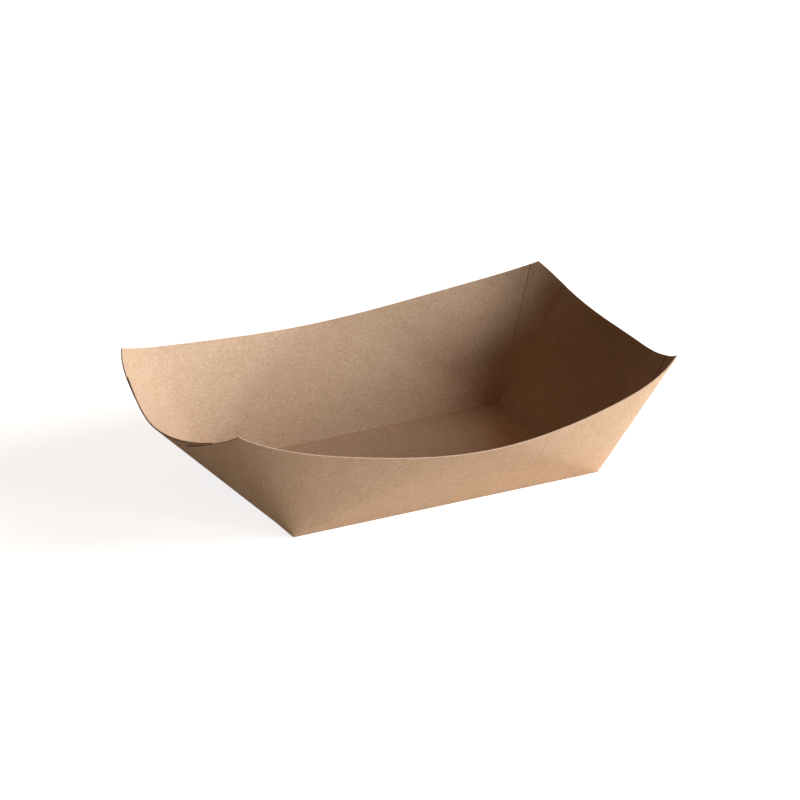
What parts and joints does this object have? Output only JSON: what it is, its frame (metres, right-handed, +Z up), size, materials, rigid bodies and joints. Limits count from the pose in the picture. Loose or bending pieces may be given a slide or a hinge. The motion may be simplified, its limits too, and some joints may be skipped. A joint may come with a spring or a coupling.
{
  "type": "paper food tray",
  "caption": "Open boat-shaped food tray folded from a sheet of kraft board, with dipped rims, soft conical corners and glued corner ears.",
  "frame": {"origin": "centre of the floor's underside, on the surface the tray stands on", "axes": "+X along the tray, +Y across it towards the back long wall, +Z up out of its mouth"},
  "size_m": [0.203, 0.1546, 0.0512],
  "materials": {
    "kraft_board": "plain brown kraft paperboard, uncoated and matt, with fine fibre speckle and slightly lighter cut edges"
  },
  "bodies": {
    "root": {"tray": "kraft_board"}
  },
  "joints": []
}
